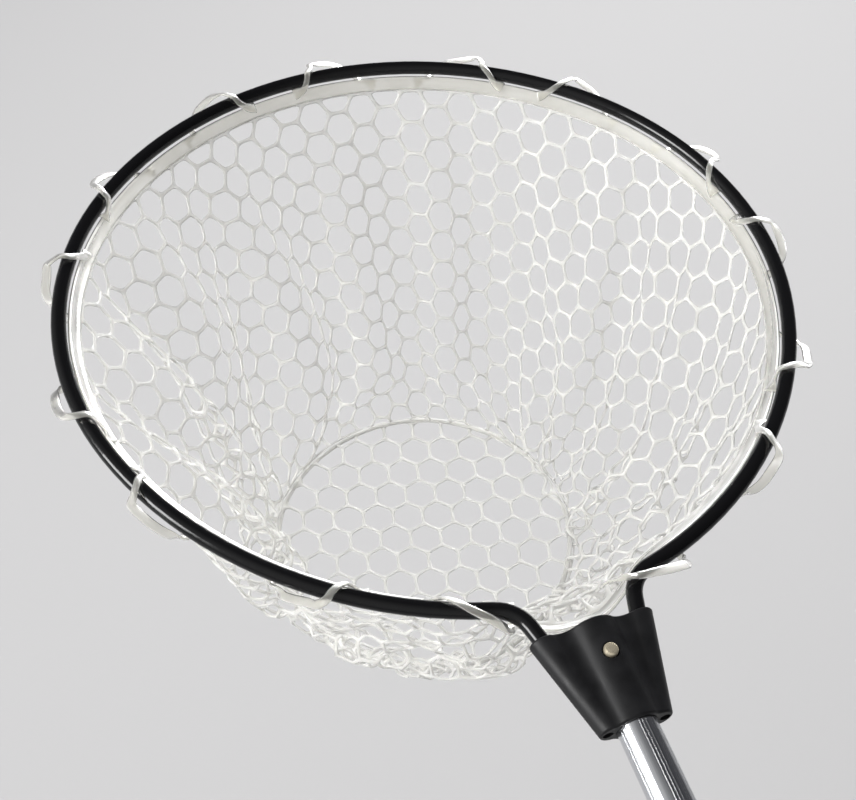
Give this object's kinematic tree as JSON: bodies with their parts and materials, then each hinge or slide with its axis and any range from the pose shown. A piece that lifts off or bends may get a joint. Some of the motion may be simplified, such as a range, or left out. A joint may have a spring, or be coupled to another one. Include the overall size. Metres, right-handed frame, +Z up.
{
  "type": "landing net",
  "caption": "Round-hooped fishing landing net with a clear moulded rubber bag and a tube handle that a snap button locks in a two-shell yoke and that slides in over the hoop to stow.",
  "frame": {"origin": "middle of the grip, on the handle tube's axis", "axes": "+Y along the handle towards the hoop, +Z up from the hoop's plane away from the bag, +X to the right seen from above with the handle towards the viewer"},
  "size_m": [0.4902, 1.2445, 0.266],
  "materials": {
    "bright_aluminium": "bright anodised extrusion with fine grooves along it",
    "black_aluminium": "black gloss coating",
    "black_plastic": "fine matte moulded texture",
    "clear_rubber": "clear soft moulded rubber, faintly cream, glossy",
    "button_metal": "nickel plated brass, polished dome",
    "steel": "plain stainless",
    "grip_foam": "dense closed-cell foam"
  },
  "bodies": {
    "handle": {"handle_tube": "bright_aluminium", "front_plug": "black_plastic", "grip": "grip_foam", "grip_ferrule": "black_plastic", "butt_cap": "black_plastic", "cap_pin": "steel", "button_spring": "steel"},
    "button": {"snap_button": "button_metal"},
    "head": {"yoke_upper": "black_plastic", "yoke_lower": "black_plastic", "yoke_screws": "steel", "leg_screws": "steel", "hoop_tube": "black_aluminium", "rim_band": "clear_rubber", "rim_loop_01": "clear_rubber", "rim_loop_02": "clear_rubber", "rim_loop_03": "clear_rubber", "rim_loop_04": "clear_rubber", "rim_loop_05": "clear_rubber", "rim_loop_06": "clear_rubber", "rim_loop_07": "clear_rubber", "rim_loop_08": "clear_rubber", "rim_loop_09": "clear_rubber", "rim_loop_10": "clear_rubber", "rim_loop_11": "clear_rubber", "rim_loop_12": "clear_rubber", "rim_loop_13": "clear_rubber", "rim_loop_14": "clear_rubber", "rim_loop_15": "clear_rubber", "net_wall": "clear_rubber", "net_base": "clear_rubber", "base_cord": "clear_rubber"}
  },
  "joints": [
    {"name": "head_slide", "type": "slide", "parent": "handle", "child": "head", "axis": [0, 1, 0], "range_m": [-0.42, 0]},
    {"name": "button_press", "type": "slide", "parent": "handle", "child": "button", "axis": [0, 0, 1], "range_m": [-0.005, 0], "stiffness_N_per_m": 1500, "springref_m": 0.001, "deforming": ["button_spring"]}
  ]
}
